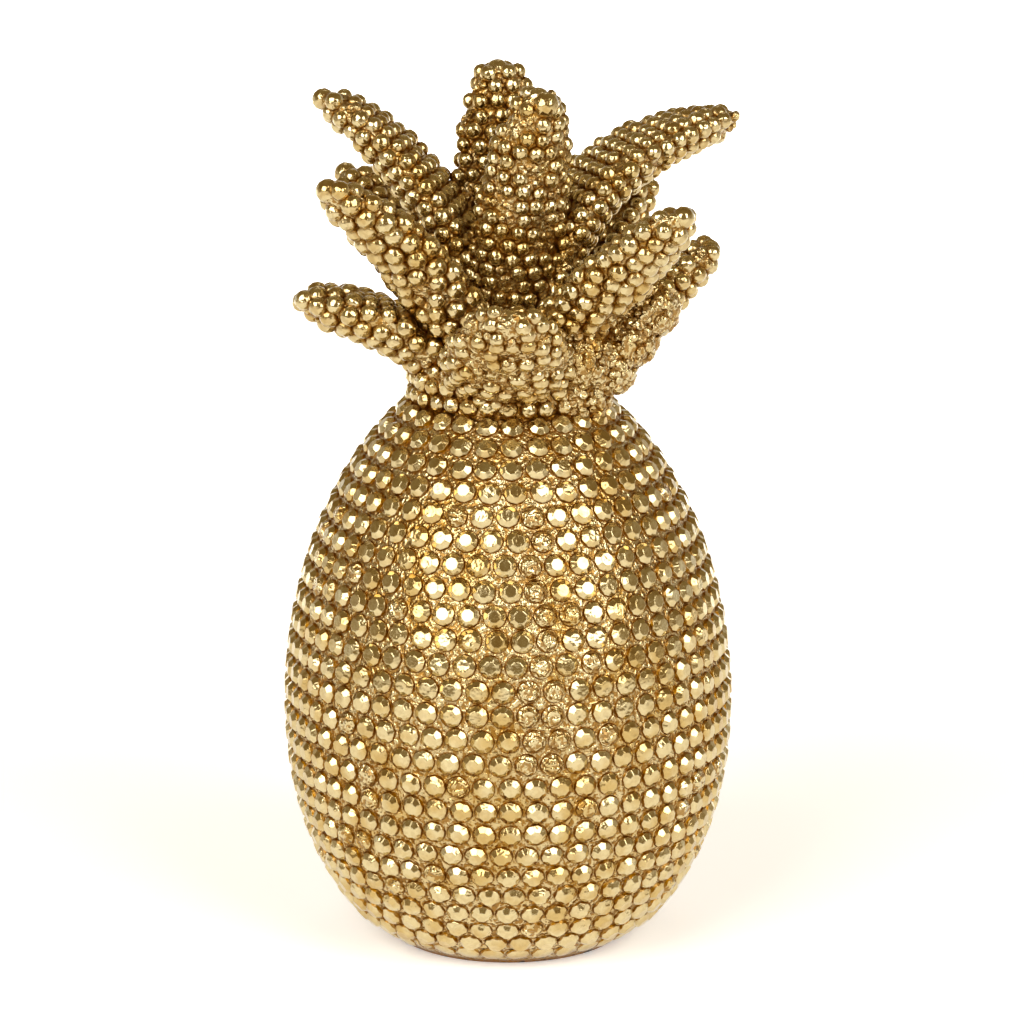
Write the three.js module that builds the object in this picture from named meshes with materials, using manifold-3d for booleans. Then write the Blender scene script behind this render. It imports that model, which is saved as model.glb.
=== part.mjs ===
// A pineapple ornament cast in one piece: an egg-shaped fruit covered in rows of round studs,
// on a small flat foot, with a crown of twelve thick leaves covered in beads.
// Millimetres, +Z up. The origin is the centre of the foot, and the front faces -Y.
import * as THREE from "three";
import Module from "manifold-3d";

const wasm = await Module();
wasm.setup();

// The fruit, measured over the skin that the studs stand on
const bellyRadius = 59.6;
const bellyHeight = 67;
const fruitHeight = 150;
const footRadius = 31.5;
const neckRadius = 25.5;
const footBand = 2.2; // plain band between the foot and the first row of studs
const upperOval = { power: 1.93, root: 1.87 }; // fullness of the fruit above its belly
const lowerOval = { power: 2.26, root: 2.1 }; // and below it

// Studs on the fruit
const studPitch = 6.75; // from stud to stud along a row
const rowPitch = 6.5; // from row to row along the skin
const studHeight = 1.9;

// The stem inside the crown, where the leaves grow from
const stemRadius = 25.5;
const stemHeight = 14;

// The crusty lump beside the neck on the right, where the mould held too much. centre and size
// are across, towards the back and up, and the centre's height is above the neck.
const lump = { centre: [18, -9, 6], size: [13.5, 14, 14], sides: 12, rings: 7 };

// Beads on the stem and the leaves
const beadPitch = 6.8;
const beadRowPitch = 6.2;
const beadHeight = 1.9;
const tipBeadRadius = 3.3;
const tipBeadSides = 6;
const leafTipBand = 1.2; // how far the rows of beads stay from the tip, in tip bead radii

// A leaf's section, measured over the skin that the beads stand on
const leafThickness = 10.5;
const leafTipSize = 3.5; // width and thickness that the skin tapers to
const leafRootShare = 0.62; // width at the root, as a share of the leaf's width
const leafWidestAt = 0.42; // share of the leaf's length
const widthTaper = { power: 1.9, root: 1.7 }; // how long it stays wide, and how blunt it ends
const thicknessTaper = { power: 3, root: 1.3 };
const leafHollow = 0.1; // how far the edges curl up, as a share of the width

// The leaves, tier by tier. azimuth is in degrees from the front, positive to the right.
// root and tip are [radius from the axis, height above the neck], bow is how far the middle
// stands below and outside the straight line between them, and sway is how far the tip swings
// sideways.
const leaves = {
  upperBack: { azimuth: 188, root: [7, 8], tip: [17, 90], bow: 4, sway: 0, width: 25 },
  upperFront: { azimuth: 20, root: [6, 8], tip: [19, 87], bow: 0, sway: 3, width: 25 },
  upperLeft: { azimuth: -100, root: [7, 8], tip: [53, 82], bow: -12, sway: 0, width: 24 },
  upperRight: { azimuth: 112, root: [7, 8], tip: [68, 72], bow: -19, sway: 0, width: 30 },
  middleFrontLeft: { azimuth: -52, root: [8, 3], tip: [62, 64], bow: -6, sway: 0, width: 25 },
  middleFrontRight: { azimuth: 52, root: [8, 3], tip: [60, 57], bow: -2, sway: 0, width: 25 },
  middleBackLeft: { azimuth: -125, root: [8, 3], tip: [57, 58], bow: -5, sway: 0, width: 25 },
  middleBackRight: { azimuth: 136, root: [8, 3], tip: [57, 56], bow: -4, sway: 0, width: 25 },
  lowerFront: { azimuth: 0, root: [9, 0], tip: [52, 34], bow: 3, sway: 0, width: 34 },
  lowerLeft: { azimuth: -82, root: [9, 0], tip: [59, 28], bow: -6, sway: 0, width: 27 },
  lowerRight: { azimuth: 96, root: [9, 0], tip: [57, 42], bow: 1, sway: 0, width: 28 },
  lowerBack: { azimuth: 184, root: [9, 0], tip: [54, 32], bow: 0, sway: 0, width: 29 },
};

const gold = new THREE.MeshStandardMaterial({ color: 0xc9a25a, metalness: 1, roughness: 0.3 });

// A closed surface built up from rings. A ring is a list of cells, each with the valley it
// starts at and, unless it is plain, the crest of the bead that stands before the next valley.
class BeadedSurface {
  constructor() {
    this.points = [];
    this.triangles = [];
    this.lastRing = null;
  }

  point(position) {
    this.points.push(position.x, position.y, position.z);
    return this.points.length / 3 - 1;
  }

  ring(cells) {
    const made = cells.map((cell) => ({
      place: cell.valley,
      valley: this.point(cell.valley),
      crest: cell.crest ? this.point(cell.crest) : null,
    }));
    if (this.lastRing) this.stitch(this.lastRing, made);
    this.lastRing = made;
  }

  // Joins two rings, which may hold different numbers of cells. The seams run from valley to
  // valley, the shorter way first, so that each bead stays a whole four-sided pyramid.
  stitch(lower, upper) {
    let i = 0;
    let j = 0;
    while (i < lower.length || j < upper.length) {
      const hereLower = lower[i % lower.length];
      const nextLower = lower[(i + 1) % lower.length];
      const hereUpper = upper[j % upper.length];
      const nextUpper = upper[(j + 1) % upper.length];
      const lowerSeam = nextLower.place.distanceTo(hereUpper.place);
      const upperSeam = hereLower.place.distanceTo(nextUpper.place);
      if (j >= upper.length || (i < lower.length && lowerSeam < upperSeam)) {
        this.fan(hereUpper.valley, hereLower.valley, hereLower.crest, nextLower.valley);
        i += 1;
      } else {
        this.fan(hereLower.valley, nextUpper.valley, hereUpper.crest, hereUpper.valley);
        j += 1;
      }
    }
  }

  // Fills the space between a corner and one cell of a ring, over the cell's crest if it has one.
  fan(corner, from, crest, to) {
    if (crest === null) {
      this.triangles.push(corner, from, to);
    } else {
      this.triangles.push(corner, from, crest);
      this.triangles.push(corner, crest, to);
    }
  }

  // Closes the surface below its last ring, where it starts, or above it, where it ends.
  cap(centre, above) {
    const id = this.point(centre);
    this.lastRing.forEach((cell, i) => {
      const next = this.lastRing[(i + 1) % this.lastRing.length];
      if (above) this.fan(id, cell.valley, cell.crest, next.valley);
      else this.fan(id, next.valley, cell.crest, cell.valley);
    });
  }

  solid() {
    return new wasm.Manifold(
      new wasm.Mesh({
        numProp: 3,
        vertProperties: new Float32Array(this.points),
        triVerts: new Uint32Array(this.triangles),
      }),
    );
  }
}

// Points along a path of [x, y] samples, at the given distances from its start, each with the
// normal on the path's right-hand side.
function pointsAlong(samples, distancesFor) {
  const lengths = [0];
  for (let i = 1; i < samples.length; i += 1) {
    const step = Math.hypot(samples[i][0] - samples[i - 1][0], samples[i][1] - samples[i - 1][1]);
    lengths.push(lengths[i - 1] + step);
  }
  return distancesFor(lengths[lengths.length - 1]).map((distance) => {
    const i = Math.max(1, lengths.findIndex((length) => length >= distance));
    const [x, y] = samples[i - 1];
    const along = [samples[i][0] - x, samples[i][1] - y];
    const size = lengths[i] - lengths[i - 1];
    const share = (distance - lengths[i - 1]) / size;
    return { at: [x + along[0] * share, y + along[1] * share], normal: [along[1] / size, -along[0] / size] };
  });
}

// Rows of the given pitch, spread evenly over a profile of [radius, height] samples.
function evenRows(samples, pitch) {
  return pointsAlong(samples, (total) => {
    const rows = Math.max(1, Math.round(total / pitch));
    return Array.from({ length: rows }, (_, row) => ((row + 0.5) / rows) * total);
  });
}

// The share of a full oval's height at which its radius has come down to endRadius.
function ovalReach(oval, endRadius) {
  return Math.pow(1 - Math.pow(endRadius / bellyRadius, oval.root), 1 / oval.power);
}

// Radius of the fruit's skin at a height: two quarter ovals that meet at the belly.
function skinRadius(height) {
  const above = height > bellyHeight;
  const oval = above ? upperOval : lowerOval;
  const span = above ? fruitHeight - bellyHeight : bellyHeight;
  const fullSpan = span / ovalReach(oval, above ? neckRadius : footRadius);
  const share = Math.abs(height - bellyHeight) / fullSpan;
  return bellyRadius * Math.pow(1 - Math.pow(share, oval.power), 1 / oval.root);
}

function profileSamples(radiusAt, from, to) {
  const steps = 400;
  return Array.from({ length: steps + 1 }, (_, i) => {
    const height = from + ((to - from) * i) / steps;
    return [radiusAt(height), height];
  });
}

// A place around the axis, turn being counted from the back.
function aroundAxis(radius, height, turn) {
  return new THREE.Vector3(-radius * Math.sin(turn), radius * Math.cos(turn), height);
}

// One row of beads around the axis. Every other row starts half a bead on.
function turnedRow(row, pitch, lift, rowNumber) {
  const [radius, height] = row.at;
  const count = Math.max(3, Math.round((2 * Math.PI * radius) / pitch));
  const half = Math.PI / count;
  return Array.from({ length: count }, (_, i) => {
    const turn = (2 * i + (rowNumber % 2)) * half;
    return {
      valley: aroundAxis(radius, height, turn),
      crest: aroundAxis(radius + row.normal[0] * lift, height + row.normal[1] * lift, turn + half),
    };
  });
}

function plainRow(radius, height, count) {
  return Array.from({ length: count }, (_, i) => {
    return { valley: aroundAxis(radius, height, (2 * Math.PI * i) / count) };
  });
}

function fruit() {
  const surface = new BeadedSurface();
  const rows = evenRows(profileSamples(skinRadius, footBand, fruitHeight), rowPitch);
  const footSides = Math.round((2 * Math.PI * rows[0].at[0]) / studPitch);
  surface.ring(plainRow(footRadius, 0, footSides));
  surface.cap(new THREE.Vector3(0, 0, 0), false);
  surface.ring(plainRow(skinRadius(footBand), footBand, footSides));
  rows.forEach((row, k) => surface.ring(turnedRow(row, studPitch, studHeight, k)));
  const stemTop = fruitHeight + stemHeight;
  const stemRows = evenRows(profileSamples(() => stemRadius, fruitHeight, stemTop), beadRowPitch);
  stemRows.forEach((row, k) => surface.ring(turnedRow(row, beadPitch, beadHeight, k)));
  surface.cap(new THREE.Vector3(0, 0, stemTop), true);
  return surface.solid();
}

function lumpSolid() {
  const surface = new BeadedSurface();
  for (let ring = 1; ring <= lump.rings; ring += 1) {
    const turn = (Math.PI * ring) / (lump.rings + 1);
    surface.ring(plainRow(Math.sin(turn), -Math.cos(turn), lump.sides));
    if (ring === 1) surface.cap(new THREE.Vector3(0, 0, -1), false);
  }
  surface.cap(new THREE.Vector3(0, 0, 1), true);
  const [across, back, up] = lump.centre;
  return surface.solid().scale(lump.size).translate([across, back, fruitHeight + up]);
}

// Where a leaf's spine runs, as a quadratic curve in the leaf's own upright plane.
function leafSpine(leaf) {
  const azimuth = THREE.MathUtils.degToRad(leaf.azimuth);
  const outward = new THREE.Vector3(Math.sin(azimuth), -Math.cos(azimuth), 0);
  const sideways = new THREE.Vector3(Math.cos(azimuth), Math.sin(azimuth), 0);
  const place = (radius, height, side) =>
    new THREE.Vector3(0, 0, fruitHeight + height)
      .addScaledVector(outward, radius)
      .addScaledVector(sideways, side);
  const run = leaf.tip[0] - leaf.root[0];
  const rise = leaf.tip[1] - leaf.root[1];
  const length = Math.hypot(run, rise);
  const middle = [
    (leaf.root[0] + leaf.tip[0]) / 2 + (2 * leaf.bow * rise) / length,
    (leaf.root[1] + leaf.tip[1]) / 2 - (2 * leaf.bow * run) / length,
  ];
  const curve = new THREE.QuadraticBezierCurve3(
    place(leaf.root[0], leaf.root[1], 0),
    place(middle[0], middle[1], 0),
    place(leaf.tip[0], leaf.tip[1], leaf.sway),
  );
  return { curve, sideways };
}

// A size that stays full up to the widest place and then comes down towards the tip.
function tapered(full, taper, share) {
  const past = Math.min(1, Math.max(0, (share - leafWidestAt) / (1 - leafWidestAt)));
  const left = Math.pow(1 - Math.pow(past, taper.power), 1 / taper.root);
  return leafTipSize + (full - leafTipSize) * left;
}

function leafWidth(leaf, share) {
  const grown = THREE.MathUtils.smoothstep(share / leafWidestAt, 0, 1);
  return tapered(leaf.width, widthTaper, share) * (leafRootShare + (1 - leafRootShare) * grown);
}

// The outline around a leaf as cells of [across, through] places, starting at its right edge.
function leafCells(width, thickness, rowNumber) {
  const steps = 96;
  const outline = Array.from({ length: steps + 1 }, (_, i) => {
    const turn = (2 * Math.PI * i) / steps;
    const curl = leafHollow * width * Math.cos(turn) ** 2;
    return [(width / 2) * Math.cos(turn), (thickness / 2) * Math.sin(turn) + curl];
  });
  const points = pointsAlong(outline, (total) => {
    const count = Math.max(4, Math.round(total / beadPitch));
    const half = total / count / 2;
    return Array.from({ length: 2 * count }, (_, k) => ((k + (rowNumber % 2)) % (2 * count)) * half);
  });
  return points.map(({ at, normal }, k) => {
    const lift = k % 2 === 0 ? 0 : beadHeight;
    return [at[0] + normal[0] * lift, at[1] + normal[1] * lift];
  });
}

function leafSolid(leaf) {
  const { curve, sideways } = leafSpine(leaf);
  const length = curve.getLength();
  const surface = new BeadedSurface();

  // turns [across, through] into a place on the leaf, at a distance along its spine
  const placer = (distance) => {
    const centre = curve.getPointAt(distance / length);
    const tangent = curve.getTangentAt(distance / length);
    const across = sideways.clone().addScaledVector(tangent, -sideways.dot(tangent)).normalize();
    const inward = tangent.clone().cross(across);
    return ([u, v]) => centre.clone().addScaledVector(across, u).addScaledVector(inward, v);
  };

  const beaded = length - leafTipBand * tipBeadRadius;
  const rows = Math.max(2, Math.round(beaded / beadRowPitch));
  for (let row = 0; row < rows; row += 1) {
    const distance = ((row + 0.5) / rows) * beaded;
    const width = leafWidth(leaf, distance / length);
    const thickness = tapered(leafThickness, thicknessTaper, distance / length);
    const places = leafCells(width, thickness, row).map(placer(distance));
    const cells = [];
    for (let k = 0; k < places.length; k += 2) {
      cells.push({ valley: places[k], crest: places[k + 1] });
    }
    surface.ring(cells);
    if (row === 0) surface.cap(curve.getPointAt(distance / length), false);
  }

  // the larger round bead at the tip, from its middle to just short of its end
  for (const back of [1, 0.3]) {
    const radius = tipBeadRadius * Math.sqrt(1 - (1 - back) ** 2);
    const place = placer(length - back * tipBeadRadius);
    const cells = Array.from({ length: tipBeadSides }, (_, i) => {
      const turn = (2 * Math.PI * i) / tipBeadSides;
      return { valley: place([radius * Math.cos(turn), radius * Math.sin(turn)]) };
    });
    surface.ring(cells);
  }
  surface.cap(curve.getPointAt(1), true);
  return surface.solid();
}

function geometryOf(solid) {
  const mesh = solid.getMesh();
  const geometry = new THREE.BufferGeometry();
  geometry.setAttribute("position", new THREE.BufferAttribute(mesh.vertProperties, mesh.numProp));
  geometry.setIndex(new THREE.BufferAttribute(mesh.triVerts, 1));
  return geometry;
}

// Fills the small pockets that are sealed in where the roots of the leaves meet. The surface
// around such a pocket faces inwards, so it holds less than nothing.
function withoutPockets(solid) {
  return wasm.Manifold.compose(solid.decompose().filter((shell) => shell.volume() > 0));
}

const stemmed = fruit().add(lumpSolid());
const joined = Object.values(leaves).reduce((solid, leaf) => solid.add(leafSolid(leaf)), stemmed);
const pineapple = new THREE.Mesh(geometryOf(withoutPockets(joined)), gold);
pineapple.name = "pineapple";

const ornament = new THREE.Group();
ornament.add(pineapple);
export default ornament;
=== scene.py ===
import math
import random
import time

import bmesh
import bpy
from mathutils import Matrix, Vector, noise


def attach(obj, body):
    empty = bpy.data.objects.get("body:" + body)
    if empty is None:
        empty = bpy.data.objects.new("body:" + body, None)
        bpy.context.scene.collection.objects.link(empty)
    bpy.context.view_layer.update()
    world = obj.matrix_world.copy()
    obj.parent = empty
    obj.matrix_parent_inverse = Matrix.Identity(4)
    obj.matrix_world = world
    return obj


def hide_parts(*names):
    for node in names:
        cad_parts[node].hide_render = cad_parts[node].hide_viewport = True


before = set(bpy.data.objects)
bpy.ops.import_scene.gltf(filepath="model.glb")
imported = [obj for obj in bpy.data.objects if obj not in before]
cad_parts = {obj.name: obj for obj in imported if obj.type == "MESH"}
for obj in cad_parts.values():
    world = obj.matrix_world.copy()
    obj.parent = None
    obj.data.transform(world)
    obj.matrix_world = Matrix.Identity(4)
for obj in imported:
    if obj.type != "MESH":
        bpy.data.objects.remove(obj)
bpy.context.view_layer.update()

# A pineapple ornament cast in resin and finished in antique gold leaf.
# The shapes are worked out in millimetres and brought to metres once they are whole.
millimetre = 0.001
started = time.time()
chance = random.Random(20)


def report(words):
    print(f"{time.time() - started:6.1f} s  {words}")


def sRGB(hexColour):
    # a hex colour as the linear values that Blender works in
    shares = [int(hexColour[i:i + 2], 16) / 255 for i in (1, 3, 5)]
    return [c / 12.92 if c <= 0.04045 else ((c + 0.055) / 1.055) ** 2.4 for c in shares] + [1]


# adds a node, sets its values and links the sockets that are given as inputs
def addNode(tree, kind, inputs=(), **settings):
    node = tree.nodes.new(kind)
    for key, value in settings.items():
        setattr(node, key, value)
    for key, value in dict(inputs).items():
        if isinstance(value, bpy.types.NodeSocket):
            tree.links.new(value, node.inputs[key])
        else:
            node.inputs[key].default_value = value
    return node


# a value moved from one range to another
def ranged(tree, value, source, target=(0.0, 1.0)):
    ends = {"From Min": source[0], "From Max": source[1], "To Min": target[0], "To Max": target[1]}
    return addNode(tree, "ShaderNodeMapRange", {"Value": value, **ends}).outputs["Result"]


# a colour between two others, at a share of the way
def blended(tree, share, first, second):
    ends = {0: share, 6: first, 7: second}
    return addNode(tree, "ShaderNodeMix", ends, data_type="RGBA").outputs[2]


def calculated(tree, operation, first, second):
    return addNode(tree, "ShaderNodeMath", {0: first, 1: second}, operation=operation).outputs["Value"]


# noise whose patches are about as large as the size, in mm
def patchy(tree, place, size, detail):
    inputs = {"Vector": place, "Scale": 1 / (size * millimetre), "Detail": detail}
    return addNode(tree, "ShaderNodeTexNoise", inputs).outputs["Fac"]


# sizes in mm, and each pair a range of noise or of open air
gilding = {
    "gold": "#cfbf92",
    "thinGold": "#c0a66c",        # where the leaf is thin and its warm ground shows through
    "thinPatch": 9.0,             # the size of those patches
    "thinning": (0.45, 0.65),     # from full leaf to thin
    "shadeAmber": "#8d5f0c",           # painted shade, in amber, for the hollows and the creases
    "shadeRoughness": 0.45,
    "hollowShadeReach": 2.1,           # how far the painted shade of a hollow reaches
    "hollowShadeEdge": (0.47, 0.9),    # from the depth of a hollow to the open
    "creaseShadeEdge": (0.42, 0.53),   # from the depth of a crease to the leaf beside it
    "creaseRange": (0.3, 0.7),    # from the deepest creases to the highest folds
    "dulling": (0.7, 1.3),        # how much their roughness varies
    "footDark": "#3b2a16",          # dark patches, most of them at the foot
    "footPatch": 2.6,                  # the size of the patches
    "footPatchBelow": 5.0,          # above the foot
    "footPatchEdge": (0.53, 0.85),     # the noise level a patch needs, at the foot and above it
}


# Antique gold leaf over cast resin: bright and mirror-like where it stands out, with painted shade
# in satin amber in the hollows and the creases, and dark patches towards the foot. The crinkle is
# the leaf's own, and it is drawn coarser than the real one, which would be too fine to show. Two
# shares say how much painted shade lies in the creases and how much lies everywhere, and the edge
# how far the leaf rounds an edge.
def goldLeaf(name, roughness, crinkle, depth, creaseShade, shadeCover=0.0, edge=0.15):
    material = bpy.data.materials.new(name)
    material.use_nodes = True
    tree = material.node_tree
    tree.nodes.clear()
    place = addNode(tree, "ShaderNodeTexCoord").outputs["Object"]
    creases = patchy(tree, place, crinkle, detail=1)
    rounded = addNode(tree, "ShaderNodeBevel", {"Radius": edge * millimetre}, samples=4)
    bump = addNode(tree, "ShaderNodeBump", {
        "Height": creases, "Normal": rounded.outputs["Normal"], "Distance": depth * millimetre})

    thin = ranged(tree, patchy(tree, place, gilding["thinPatch"], detail=2), gilding["thinning"])
    leaf = blended(tree, thin, sRGB(gilding["gold"]), sRGB(gilding["thinGold"]))
    # painted shade: amber mixed into the leaf where ambient occlusion finds a hollow, and in the
    # crinkle's creases
    air = addNode(tree, "ShaderNodeAmbientOcclusion", {
        "Distance": gilding["hollowShadeReach"] * millimetre}, samples=6).outputs["AO"]
    shadeInHollows = ranged(tree, air, gilding["hollowShadeEdge"], (1.0, 0.0))
    shadeInCreases = ranged(tree, creases, gilding["creaseShadeEdge"], (creaseShade, shadeCover))
    paintedShade = calculated(tree, "MAXIMUM", shadeInHollows, shadeInCreases)
    shadedLeaf = blended(tree, paintedShade, leaf, sRGB(gilding["shadeAmber"]))

    # dark patches in the colour, more of them towards the foot
    height = addNode(tree, "ShaderNodeSeparateXYZ", {"Vector": place}).outputs["Z"]
    nearFoot = (0.0, gilding["footPatchBelow"] * millimetre)
    patchThreshold = ranged(tree, height, nearFoot, gilding["footPatchEdge"])
    darkAtFoot = calculated(tree, "GREATER_THAN", patchy(tree, place, gilding["footPatch"], detail=2), patchThreshold)
    colour = blended(tree, darkAtFoot, shadedLeaf, sRGB(gilding["footDark"]))

    dull = [roughness * share for share in gilding["dulling"]]
    dullness = ranged(tree, creases, gilding["creaseRange"], dull)
    satin = ranged(tree, paintedShade, (0.0, 1.0), (dullness, gilding["shadeRoughness"]))
    shader = addNode(tree, "ShaderNodeBsdfPrincipled", {
        "Base Color": colour, "Metallic": 1.0, "Roughness": satin, "Normal": bump.outputs["Normal"]})
    addNode(tree, "ShaderNodeOutputMaterial", {"Surface": shader.outputs["BSDF"]})
    return material


# the finishes of the casting, in the order of the pieces' material slots
onSkin, onStuds, onBeads, onRough, onShadedRims = 0, 1, 2, 3, 4
finishes = [
    goldLeaf("crinkledGoldLeaf", roughness=0.14, crinkle=1.2, depth=0.8, creaseShade=0.85),
    goldLeaf("burnishedGoldLeaf", roughness=0.12, crinkle=1.4, depth=0.11, creaseShade=0.12, edge=0.4),
    goldLeaf("hammeredGoldLeaf", roughness=0.09, crinkle=1.7, depth=0.4, creaseShade=0.25),
    goldLeaf("wrinkledGoldLeaf", roughness=0.09, crinkle=1.4, depth=1.0, creaseShade=0.75),
    # the studs' rims: painted shade, nearly all amber, as a dark outline round each stud
    goldLeaf("shadedRimGoldLeaf", roughness=0.2, crinkle=1.2, depth=0.3, creaseShade=1.0, shadeCover=0.8),
]


def objectFrom(bm, name):
    bmesh.ops.recalc_face_normals(bm, faces=bm.faces)
    mesh = bpy.data.meshes.new(name)
    bm.to_mesh(mesh)
    bm.free()
    for finish in finishes:
        mesh.materials.append(finish)
    piece = bpy.data.objects.new(name, mesh)
    bpy.context.collection.objects.link(piece)
    return piece


# Sizes in mm. A cut is the slope of its facets in degrees, and how far out they start as a share
# of the radius, measured at the top. The last four say how far a hand's work is out.
studs = {
    "pitch": 6.75,      # along a row
    "rowPitch": 6.5,
    "radius": 3.18,
    "height": 1.74,
    "sink": 0.6,        # how deep it stands in the skin
    "lean": 0.35,       # how much its side leans in, for each mm of height
    "sides": 16,
    "facets": 8,
    "cut": (43, 0.5),
    "rimBelow": 0.6,    # faces whose normals rise less than this are its rim
    "tilt": 3.0,        # degrees that it may lean
    "turn": 0.2,        # radians that it may turn
    "shift": 0.2,       # how far it may stand out of line
    "spread": 0.02,     # how much its size varies, as a share
}

# the leaves' beads are cast as round domes
beads = {
    "pitch": 5.7,
    "rowPitch": 4.95,
    "radius": 2.95,
    "height": 2.7,
    "around": 10,
    "rings": 6,
    "sink": 0.15,       # how far its middle lies under the skin
    "tilt": 12.0,
    "turn": 0.2,
    "shift": 0.5,
    "spread": 0.1,
}

# what is left where a bead came out badly
crumbs = {"radius": 2.7, "height": 2.2, "around": 8, "rings": 4}


# a round stud with a flat top, a ring of flat facets and a rim painted with shade, standing on the
# origin
def cutStud(name, form, finish):
    bm = bmesh.new()
    radius, height, sink = form["radius"], form["height"], form["sink"]
    middle = Matrix.Translation((0, 0, (height - sink) / 2))
    ends = {"radius1": footRadius(form), "radius2": radius - height * form["lean"]}
    bmesh.ops.create_cone(bm, segments=form["sides"], matrix=middle, depth=height + sink,
                          cap_ends=True, **ends)
    slope, start = form["cut"]
    lean = math.radians(slope)
    for i in range(form["facets"]):
        turn = Matrix.Rotation(i * 2 * math.pi / form["facets"], 3, "Z")
        out = turn @ Vector((math.sin(lean), 0, math.cos(lean)))
        edge = turn @ Vector((start * radius, 0, height))
        whole = bm.verts[:] + bm.edges[:] + bm.faces[:]
        cut = bmesh.ops.bisect_plane(bm, geom=whole, plane_co=edge, plane_no=out, clear_outer=True)
        rim = [part for part in cut["geom_cut"] if isinstance(part, bmesh.types.BMEdge)]
        bmesh.ops.contextual_create(bm, geom=rim)
    mesh = pattern(bm, name, finish)
    for face in mesh.polygons:
        if abs(face.normal.z) < form["rimBelow"]:
            face.material_index = onShadedRims
    return mesh


# the reach of a stud at the bottom of what stands in the skin
def footRadius(form):
    return form["radius"] + form.get("sink", 0) * form.get("lean", 0)


# a round dome whose other half is buried
def roundBead(name, form, finish):
    bm = bmesh.new()
    rounds = {"u_segments": form["around"], "v_segments": form["rings"]}
    bmesh.ops.create_uvsphere(bm, radius=form["radius"], **rounds)
    bmesh.ops.scale(bm, vec=(1, 1, form["height"] / form["radius"]), verts=bm.verts)
    return pattern(bm, name, finish)


# the mesh that every stud or bead of a kind is copied from
def pattern(bm, name, finish):
    for face in bm.faces:
        face.material_index = finish
    bmesh.ops.recalc_face_normals(bm, faces=bm.faces)
    mesh = bpy.data.meshes.new(name)
    bm.to_mesh(mesh)
    bm.free()
    return mesh


# where a stud stands: out along the normal, with a hand's small errors
def seat(at, normal, form, size=1.0):
    lean = math.radians(form["tilt"])
    shift = form["shift"] * size
    turn = form["turn"]
    upright = normal.to_track_quat("Z", "Y").to_matrix().to_4x4()
    beside = Matrix.Translation((chance.uniform(-shift, shift), chance.uniform(-shift, shift), 0))
    leanX = Matrix.Rotation(chance.uniform(-lean, lean), 4, "X")
    leanY = Matrix.Rotation(chance.uniform(-lean, lean), 4, "Y")
    turned = Matrix.Rotation(chance.uniform(-turn, turn), 4, "Z")
    size *= 1 + chance.uniform(-1, 1) * form["spread"]
    return Matrix.Translation(at) @ upright @ beside @ leanX @ leanY @ turned @ Matrix.Scale(size, 4)


# sorts the places into groups in which no two studs touch
def apart(places, radius):
    groups = []
    for place in places:
        reach = radius * place.to_scale().x
        for group in groups:
            if all((other.translation - place.translation).length > reach + otherReach
                   for other, otherReach in group):
                group.append((place, reach))
                break
        else:
            groups.append([(place, reach)])
    return [[place for place, reach in group] for group in groups]


# the places that pass a test, and the rest
def parted(places, test):
    passed, rest = [], []
    for place in places:
        (passed if test(place) else rest).append(place)
    return passed, rest


def scatter(stud, places):
    bm = bmesh.new()
    for place in places:
        copy = stud.copy()
        copy.transform(place)
        bm.from_mesh(copy)
        bpy.data.meshes.remove(copy)
    return objectFrom(bm, "studs")


# one closed skin over a base and what stands on it
def joined(base, others):
    for other in others:
        join = base.modifiers.new("join", "BOOLEAN")
        join.operation = "UNION"
        join.solver = "MANIFOLD"
        join.object = other
    shaped = base.evaluated_get(bpy.context.evaluated_depsgraph_get())
    mesh = bpy.data.meshes.new_from_object(shaped)
    base.modifiers.clear()
    old, base.data = base.data, mesh
    bpy.data.meshes.remove(old)
    for other in others:
        spent = other.data
        bpy.data.objects.remove(other)
        bpy.data.meshes.remove(spent)
    return base


def withStuds(skin, stud, places, form):
    return joined(skin, [scatter(stud, group) for group in apart(places, footRadius(form))])


# points at the given shares of a path's length, each with the normal on its right-hand side
def pointsAlong(path, shares):
    lengths = [0]
    for a, b in zip(path, path[1:]):
        lengths.append(lengths[-1] + (b - a).length)
    found = []
    i = 1
    for share in shares:
        distance = share * lengths[-1]
        while lengths[i] < distance and i < len(path) - 1:
            i += 1
        along = (path[i] - path[i - 1]).normalized()
        at = path[i - 1] + along * (distance - lengths[i - 1])
        found.append((at, Vector((along.y, -along.x))))
    return found


def pathLength(path):
    return sum((b - a).length for a, b in zip(path, path[1:]))


def evenShares(length, pitch):
    count = max(1, round(length / pitch))
    return [(i + 0.5) / count for i in range(count)]


# the fruit's skin, which the studs stand on, and the stem inside the crown, in mm
fruit = {
    "bellyRadius": 59.6,
    "bellyHeight": 67,
    "height": 150,
    "footRadius": 31.5,
    "neckRadius": 25.5,
    "footBand": 2.2,
    "flatBelow": 4.5,            # the studs below this came out nearly flat
    "flatness": 0.4,             # the share of their height that they have left
    "upperOval": (1.93, 1.87),   # power and root: how full the oval is
    "lowerOval": (2.26, 2.1),
    "stem": [(25.5, 150), (25.5, 159), (14, 164), (0, 165)],
    "stemBead": 0.9,
    "sides": 72,
    "rings": 30,
}
samePoint = 0.001

# where the two halves of the mould met, the studs came out wrinkled
seam = {"azimuth": (4.5, 14), "height": (62, 132), "elsewhere": 0.05}

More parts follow.
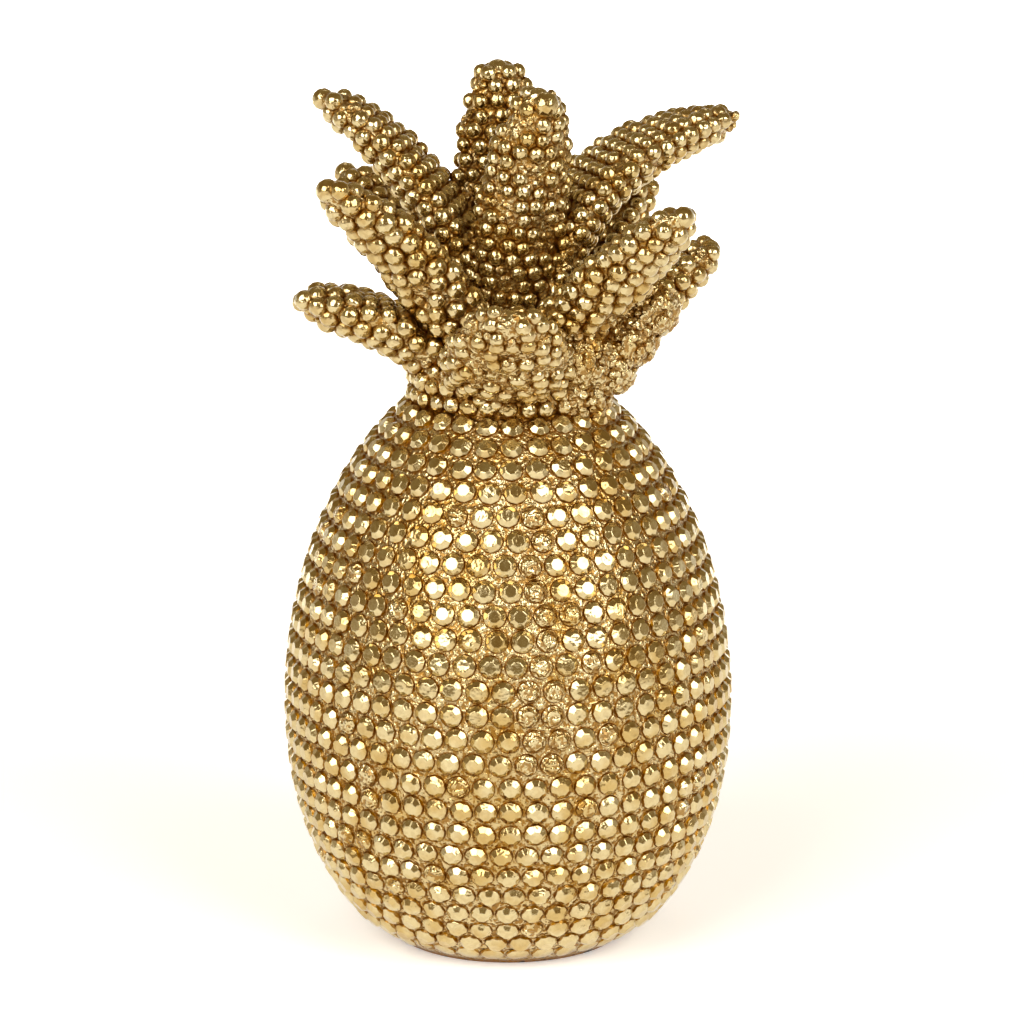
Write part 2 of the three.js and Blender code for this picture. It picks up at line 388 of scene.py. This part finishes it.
# the crusty mass beside the neck on the right, where the mould held too much: its lumps as
# (centre, half size), and the space in which the leaves' beads came out as crumbs
crust = {
    "lumps": [
        ((15, -9, 155), (13, 13, 13)),
        ((24, -8, 161.5), (10.5, 12, 9)),
        ((31, -6, 168), (9, 11, 8.5)),
        ((37.5, -4, 176), (8, 9.5, 8)),
        ((19, -16, 165), (8, 9, 10)),
    ],
    "grain": 3.4,
    "relief": 1.6,
    "crumbs": 130,
    "crumbSize": (0.4, 0.8),
    "crumbRise": (-0.8, 0.9),    # where on a lump the crumbs lie, as shares of its height
    "crumbTurn": (-2.4, 1.2),    # and the turn around it, in radians
    "crumbReach": 0.98,
    "spoiled": ((34, -14, 168), (20, 18, 14)),
    "crumbsPerBead": 3,
    "strewn": 2.5,               # how far from a bead's place its crumbs lie
    "strewnSink": 0.2,
}


def skinRadius(height):
    above = height > fruit["bellyHeight"]
    power, root = fruit["upperOval"] if above else fruit["lowerOval"]
    endRadius = fruit["neckRadius"] if above else fruit["footRadius"]
    span = fruit["height"] - fruit["bellyHeight"] if above else fruit["bellyHeight"]
    reach = (1 - (endRadius / fruit["bellyRadius"]) ** root) ** (1 / power)
    share = abs(height - fruit["bellyHeight"]) * reach / span
    return fruit["bellyRadius"] * (1 - share**power) ** (1 / root)


def profile(low, high, steps=400):
    heights = [low + (high - low) * i / steps for i in range(steps + 1)]
    return [Vector((skinRadius(height), height)) for height in heights]


def fruitSkin():
    bm = bmesh.new()
    shares = [i / fruit["rings"] for i in range(fruit["rings"] + 1)]
    side = [(at.x, at.y) for at, normal in pointsAlong(profile(0, fruit["height"]), shares)]
    outline = [(0, 0)] + side + fruit["stem"][1:]
    verts = [bm.verts.new((radius, 0, height)) for radius, height in outline]
    edges = [bm.edges.new(pair) for pair in zip(verts, verts[1:])]
    turned = {"axis": (0, 0, 1), "angle": 2 * math.pi, "steps": fruit["sides"]}
    bmesh.ops.spin(bm, geom=verts + edges, use_merge=True, **turned)
    bmesh.ops.remove_doubles(bm, verts=bm.verts, dist=samePoint)
    return objectFrom(bm, "fruit")


# rows of studs around the axis over a profile
def turnedPlaces(path, form, size=1.0):
    places = []
    for at, normal in pointsAlong(path, evenShares(pathLength(path), form["rowPitch"] * size)):
        count = max(3, round(2 * math.pi * at.x / (form["pitch"] * size)))
        phase = chance.random()
        for i in range(count):
            turn = Matrix.Rotation((i + phase) * 2 * math.pi / count, 3, "Z")
            where = turn @ Vector((at.x, 0, at.y))
            out = turn @ Vector((normal.x, 0, normal.y))
            places.append(seat(where, out, form, size))
    return places


def isWrinkled(place):
    x, y, z = place.translation
    azimuth = math.degrees(math.atan2(x, -y))
    low, high = seam["height"]
    left, right = seam["azimuth"]
    onSeam = left < azimuth < right and low < z < high
    return onSeam or chance.random() < seam["elsewhere"]


def pressed(place):
    isLow = place.translation.z < fruit["flatBelow"]
    return place @ Matrix.Diagonal((1, 1, fruit["flatness"], 1)) if isLow else place


def crustyLump(centre, size):
    bm = bmesh.new()
    bmesh.ops.create_icosphere(bm, subdivisions=4, radius=1)
    for vert in bm.verts:
        out = vert.co.copy()
        vert.co = Vector(centre) + Vector(a * b for a, b in zip(out, size))
        bulge = noise.noise(vert.co / crust["grain"])
        vert.co += out * crust["relief"] * bulge
    for face in bm.faces:
        face.material_index = onRough
    return objectFrom(bm, "lump")


def crumbPlaces(centre, size):
    places = []
    for i in range(crust["crumbs"]):
        z = chance.uniform(*crust["crumbRise"])
        turn = chance.uniform(*crust["crumbTurn"])
        ring = math.sqrt(1 - z * z)
        out = Vector((ring * math.cos(turn), ring * math.sin(turn), z))
        where = Vector(centre) + Vector(a * b * crust["crumbReach"] for a, b in zip(out, size))
        places.append(seat(where, out, beads, chance.uniform(*crust["crumbSize"])))
    return places


# whether a bead stands in the crust, or is one of the share of a leaf's beads that are spoiled
def isSpoiled(place, share):
    centre, size = crust["spoiled"]
    inCrust = sum(((a - b) / c) ** 2 for a, b, c in zip(place.translation, centre, size)) < 1
    return chance.random() < share or inCrust


# the crumbs that stand where a bead should be
def crumbled(place):
    places = []
    far = crust["strewn"]
    for i in range(crust["crumbsPerBead"]):
        aside = (chance.uniform(-far, far), chance.uniform(-far, far), -crust["strewnSink"])
        size = Matrix.Scale(chance.uniform(*crust["crumbSize"]), 4)
        places.append(place @ Matrix.Translation(aside) @ size)
    return places


# A leaf's section in mm, up to the skin that the beads stand on. Each taper is its power
# and root: how long the leaf keeps its size, and how blunt it ends.
leafForm = {
    "thickness": 10.5,
    "tipSize": 3.5,
    "rootShare": 0.62,
    "widestAt": 0.42,
    "widthTaper": (1.9, 1.7),
    "thicknessTaper": (3, 1.3),
    "hollow": 0.1,         # how far the edges curl up, as a share of the width
    "tipBead": 3.1,
    "tipRoom": 0.5,        # between the tip bead and the end of the spine
    "bigBead": 4.0,        # the one that stands on the upper front leaf
    "bigBeadSink": 0.8,
    "clearance": 1.1,      # how near a large bead others may stand, in its radii
    "rowTurn": 0.4,        # how far a row may be turned, in beads
    "spoiled": 0.06,       # the share of the beads that came out badly
    "around": 22,
    "along": 22,
    "outlineSteps": 96,
    "edgeSteps": 200,
}

# azimuth in degrees from the front, root and tip as (radius, height above the neck), bow below
# and outside the straight line, width, and the size of the beads
leaves = {
    "upperBack": {
        "azimuth": 188, "root": (7, 8), "tip": (17, 90), "bow": 4, "width": 25, "bead": 0.84,
        "tipSize": 7},
    "upperFront": {
        "azimuth": 20, "root": (3, 14), "tip": (19, 87), "bow": 0, "width": 25, "bead": 0.78,
        "sway": 3, "tipSize": 5, "bigBeadAt": 0.975, "spoiled": 0.3},
    "upperLeft": {
        "azimuth": -100, "root": (7, 8), "tip": (53, 82), "bow": -12, "width": 24, "bead": 0.84},
    "upperRight": {
        "azimuth": 112, "root": (7, 8), "tip": (67.4, 72), "bow": -19, "width": 30, "bead": 0.84,
        "tipSize": 4.7},
    "middleFrontLeft": {
        "azimuth": -52, "root": (8, 3), "tip": (62, 64), "bow": -6, "width": 25, "bead": 1},
    "middleFrontRight": {
        "azimuth": 48, "root": (8, 3), "tip": (63.6, 58.3), "bow": -2, "width": 29, "bead": 0.92},
    "middleBackLeft": {
        "azimuth": -125, "root": (8, 3), "tip": (57, 58), "bow": -5, "width": 25, "bead": 0.92},
    "middleBackRight": {
        "azimuth": 136, "root": (8, 3), "tip": (57, 56), "bow": -4, "width": 25, "bead": 0.92},
    "lowerFront": {
        "azimuth": 0, "root": (9, 0), "tip": (52, 34), "bow": 3, "width": 34, "bead": 0.78,
        "spoiled": 0.4},
    "lowerLeft": {
        "azimuth": -82, "root": (9, 0), "tip": (59, 28), "bow": -6, "width": 27, "bead": 0.96},
    "lowerRight": {
        "azimuth": 96, "root": (9, 0), "tip": (57, 42), "bow": 1, "width": 28, "bead": 0.86},
    "lowerBack": {
        "azimuth": 184, "root": (9, 0), "tip": (54, 32), "bow": 0, "width": 29, "bead": 0.9},
}


# a size that stays full up to the widest place and then comes down towards the tip
def tapered(leaf, full, taper, share):
    past = min(1, max(0, (share - leafForm["widestAt"]) / (1 - leafForm["widestAt"])))
    left = (1 - past ** taper[0]) ** (1 / taper[1])
    tipSize = leaf.get("tipSize", leafForm["tipSize"])
    return tipSize + (full - tipSize) * left


def leafWidth(leaf, share):
    grown = min(1, share / leafForm["widestAt"])
    grown = grown * grown * (3 - 2 * grown)
    atRoot = leafForm["rootShare"]
    full = tapered(leaf, leaf["width"], leafForm["widthTaper"], share)
    return full * (atRoot + (1 - atRoot) * grown)


# a leaf's section at a share of its length, turn going once around it
def sectionPoint(leaf, share, turn):
    width = leafWidth(leaf, share)
    thickness = tapered(leaf, leafForm["thickness"], leafForm["thicknessTaper"], share)
    curl = leafForm["hollow"] * width * math.cos(turn) ** 2
    return Vector((width / 2 * math.cos(turn), thickness / 2 * math.sin(turn) + curl))


# a leaf's spine: a quadratic curve in the leaf's own upright plane
def leafSpine(leaf, steps=60):
    azimuth = math.radians(leaf["azimuth"])
    outward = Vector((math.sin(azimuth), -math.cos(azimuth), 0))
    sideways = Vector((math.cos(azimuth), math.sin(azimuth), 0))

    def place(radius, height, side=0):
        return outward * radius + sideways * side + Vector((0, 0, fruit["height"] + height))

    (r0, h0), (r1, h1) = leaf["root"], leaf["tip"]
    run, rise = r1 - r0, h1 - h0
    bow = 2 * leaf["bow"] / math.hypot(run, rise)
    middle = place((r0 + r1) / 2 + bow * rise, (h0 + h1) / 2 - bow * run)
    first = place(r0, h0)
    last = place(r1, h1, leaf.get("sway", 0))
    points = []
    for i in range(steps + 1):
        t = i / steps
        points.append(first * (1 - t) ** 2 + middle * 2 * t * (1 - t) + last * t * t)
    return points, sideways


# the middle of a leaf at a distance along its spine, and the ways across, through and along it
def spineAt(points, sideways, distance):
    i = 0
    left = distance
    while i < len(points) - 2 and left > (points[i + 1] - points[i]).length:
        left -= (points[i + 1] - points[i]).length
        i += 1
    tangent = (points[i + 1] - points[i]).normalized()
    centre = points[i] + tangent * left
    across = (sideways - tangent * sideways.dot(tangent)).normalized()
    return centre, across, tangent.cross(across), tangent


# how far along its spine a leaf's skin reaches, which leaves room for the beads on its end
def skinLength(leaf, points):
    return pathLength(points) - beads["height"] * leaf["bead"]


def leafSkin(name, leaf):
    points, sideways = leafSpine(leaf)
    length = skinLength(leaf, points)
    bm = bmesh.new()
    rounds = {"u_segments": leafForm["around"], "v_segments": leafForm["along"]}
    bmesh.ops.create_uvsphere(bm, radius=1, **rounds)
    for vert in bm.verts:
        x, y, z = vert.co
        share = (1 + z) / 2
        onPole = math.isclose(abs(z), 1, abs_tol=0.0001)
        at = Vector((0, 0)) if onPole else sectionPoint(leaf, share, math.atan2(y, x))
        centre, across, inward, tangent = spineAt(points, sideways, share * length)
        vert.co = centre + across * at.x + inward * at.y
    return objectFrom(bm, name)


# the tip bead and the big bead first, and then rows of beads around the leaf
def leafBeadPlaces(leaf):
    points, sideways = leafSpine(leaf)
    length = skinLength(leaf, points)
    size = leaf["bead"]
    tip = (points[-1] - points[-2]).normalized()
    tipReach = beads["height"] * leafForm["tipBead"] / beads["radius"] + leafForm["tipRoom"]
    large = [(points[-1] - tip * tipReach, tip, leafForm["tipBead"])]
    if "bigBeadAt" in leaf:
        share = leaf["bigBeadAt"]
        centre, across, inward, tangent = spineAt(points, sideways, share * length)
        outside = sectionPoint(leaf, share, -math.pi / 2).y + leafForm["bigBeadSink"]
        large.append((centre + inward * outside, -inward, leafForm["bigBead"]))
    places = [seat(where, out, beads, radius / beads["radius"]) for where, out, radius in large]
    steps = leafForm["edgeSteps"]
    edge = [Vector((length * i / steps, leafWidth(leaf, i / steps) / 2)) for i in range(steps + 1)]
    rows = pointsAlong(edge, evenShares(pathLength(edge), beads["rowPitch"] * size))
    turns = [2 * math.pi * i / leafForm["outlineSteps"] for i in range(leafForm["outlineSteps"] + 1)]
    for row, (at, slope) in enumerate(rows):
        outline = [sectionPoint(leaf, at.x / length, turn) for turn in turns]
        count = max(4, round(pathLength(outline) / (beads["pitch"] * size)))
        centre, across, inward, tangent = spineAt(points, sideways, at.x)
        phase = 0.5 * (row % 2) + chance.uniform(0, leafForm["rowTurn"])
        for around, normal in pointsAlong(outline, [(i + phase) / count for i in range(count)]):
            out = (across * normal.x + inward * normal.y) * -slope.y - tangent * slope.x
            where = centre + across * around.x + inward * around.y - out * beads["sink"]
            if all((where - other).length > radius * leafForm["clearance"]
                   for other, facing, radius in large):
                places.append(seat(where, out, beads, size))
    return places


# a piece in metres, smooth where its faces turn less than an angle in degrees and sharp elsewhere
def finished(body, name, sharpFrom):
    body.data.transform(Matrix.Scale(millimetre, 4))
    body.data.shade_smooth()
    body.data.set_sharp_from_angle(angle=math.radians(sharpFrom))
    body.name = body.data.name = name
    triangles = sum(len(p.vertices) - 2 for p in body.data.polygons)
    report(f"{name}: {len(body.data.polygons)} faces, {triangles} triangles")
    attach(body, "root")
    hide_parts("pineapple")


def makeFruit():
    stud = cutStud("stud", studs, onStuds)
    wrinkledStud = cutStud("wrinkledStud", studs, onRough)
    bead = roundBead("bead", beads, onBeads)
    crumb = roundBead("crumb", crumbs, onRough)
    body = fruitSkin()
    rows = turnedPlaces(profile(fruit["footBand"], fruit["height"]), studs)
    wrinkled, clean = parted([pressed(place) for place in rows], isWrinkled)
    body = withStuds(body, stud, clean, studs)
    body = withStuds(body, wrinkledStud, wrinkled, studs)
    stem = [Vector(at) for at in fruit["stem"]]
    body = withStuds(body, bead, turnedPlaces(stem, beads, fruit["stemBead"]), beads)
    lumps = []
    for lump in crust["lumps"]:
        lumps.append(withStuds(crustyLump(*lump), crumb, crumbPlaces(*lump), crumbs))
    finished(joined(body, lumps), "fruit", sharpFrom=25)


def makeCrown():
    bead = roundBead("bead", beads, onBeads)
    crumb = roundBead("crumb", crumbs, onRough)
    grown = []
    for name, leaf in leaves.items():
        share = leaf.get("spoiled", leafForm["spoiled"])
        spoiled, clean = parted(leafBeadPlaces(leaf), lambda place: isSpoiled(place, share))
        body = withStuds(leafSkin(name, leaf), bead, clean, beads)
        broken = [crumbPlace for place in spoiled for crumbPlace in crumbled(place)]
        grown.append(withStuds(body, crumb, broken, crumbs))
    finished(joined(grown[0], grown[1:]), "crown", sharpFrom=45)


# in metres and degrees, azimuths from the camera's side
stage = {
    "floorSize": 9.0,
    "floor": "#fafafa",
    "floorRoughness": 0.8,
    "floorGlow": 0.35,
    "softboxes": {
        "leftSoftbox": {"azimuth": -36, "elevation": 31, "size": (1.0, 1.2), "radiance": 2.05},
        "rightSoftbox": {"azimuth": 42, "elevation": 30, "size": (0.9, 1.15), "radiance": 1.95},
    },
    "softboxDistance": 1.5,
    "softboxSpread": 110,
    "backgroundLight": {"size": (3.2, 1.6), "radiance": 3.6, "spread": 80},
    "backgroundLightAt": (0, 1.7, 1.5),
    "ceiling": "#ebca8a",
    "backdrop": "#ffffff",
    "ceilingFrom": 0.5,            # how high in the sky the backdrop has given way to the ceiling
    "frontToBack": (-0.6, 0.5),    # where the backdrop's glow begins and is full
    "frontShare": 0.1,
    "glow": (0.36, 0.95),          # of the ceiling and of the backdrop
    "cameraDistance": 1.2,
    "cameraElevation": 13.5,
    "cameraReach": 20,
    "aim": (0.0011, 0, 0.1182),
    "lens": 155.1,
}


# Matt white paper with a faint glow, as on a light table, which keeps the shadows on it pale
# and throws light up into the gold.
def paleFloor():
    bm = bmesh.new()
    bmesh.ops.create_grid(bm, x_segments=1, y_segments=1, size=stage["floorSize"] / 2)
    mesh = bpy.data.meshes.new("floor")
    bm.to_mesh(mesh)
    bm.free()
    floor = bpy.data.objects.new("floor", mesh)
    bpy.context.collection.objects.link(floor)
    material = bpy.data.materials.new("mattPaper")
    material.use_nodes = True
    shader = material.node_tree.nodes["Principled BSDF"]
    shader.inputs["Base Color"].default_value = sRGB(stage["floor"])
    shader.inputs["Roughness"].default_value = stage["floorRoughness"]
    shader.inputs["Emission Color"].default_value = sRGB(stage["floor"])
    shader.inputs["Emission Strength"].default_value = stage["floorGlow"]
    mesh.materials.append(material)


def areaLight(name, size, radiance, spread):
    width, height = size
    light = bpy.data.lights.new(name, "AREA")
    light.shape = "RECTANGLE"
    light.size = width
    light.size_y = height
    light.energy = radiance * math.pi * width * height
    light.spread = math.radians(spread)
    lamp = bpy.data.objects.new(name, light)
    bpy.context.collection.objects.link(lamp)
    return lamp


# a soft light that faces the ornament
def softbox(name, azimuth, elevation, size, radiance):
    lamp = areaLight(name, size, radiance, stage["softboxSpread"])
    a = math.radians(azimuth)
    e = math.radians(elevation)
    aim = Vector(stage["aim"])
    outward = Vector((math.sin(a) * math.cos(e), -math.cos(a) * math.cos(e), math.sin(e)))
    lamp.location = aim + stage["softboxDistance"] * outward
    lamp.rotation_euler = (lamp.location - aim).to_track_quat("Z", "Y").to_euler()


# two softboxes, a light that shines straight down on the floor behind, and a sky that is dark
# overhead and around the camera and pale low down behind the ornament
def studio():
    for name, form in stage["softboxes"].items():
        softbox(name, **form)
    overBackground = areaLight("backgroundLight", **stage["backgroundLight"])
    overBackground.location = stage["backgroundLightAt"]
    world = bpy.data.worlds.new("studio")
    bpy.context.scene.world = world
    world.use_nodes = True
    tree = world.node_tree
    tree.nodes.clear()
    way = addNode(tree, "ShaderNodeTexCoord").outputs["Generated"]
    split = addNode(tree, "ShaderNodeSeparateXYZ", {"Vector": way})
    low = ranged(tree, split.outputs["Z"], (0.0, stage["ceilingFrom"]), (1.0, 0.0))
    back = ranged(tree, split.outputs["Y"], stage["frontToBack"], (stage["frontShare"], 1.0))
    pale = calculated(tree, "MULTIPLY", low, back)
    glow = ranged(tree, pale, (0.0, 1.0), stage["glow"])
    warmth = blended(tree, pale, sRGB(stage["ceiling"]), sRGB(stage["backdrop"]))
    sky = addNode(tree, "ShaderNodeBackground", {"Color": warmth, "Strength": glow})
    addNode(tree, "ShaderNodeOutputWorld", {"Surface": sky.outputs["Background"]})


def camera():
    eye = bpy.data.objects.new("camera", bpy.data.cameras.new("camera"))
    e = math.radians(stage["cameraElevation"])
    aim = Vector(stage["aim"])
    eye.location = aim + stage["cameraDistance"] * Vector((0, -math.cos(e), math.sin(e)))
    eye.rotation_euler = (math.radians(90) - e, 0, 0)
    eye.data.lens = stage["lens"]
    eye.data.clip_end = stage["cameraReach"]
    bpy.context.collection.objects.link(eye)
    bpy.context.scene.camera = eye


makeFruit()
makeCrown()
paleFloor()
studio()
camera()
bpy.context.scene.view_settings.view_transform = "Standard"
report("stage set")
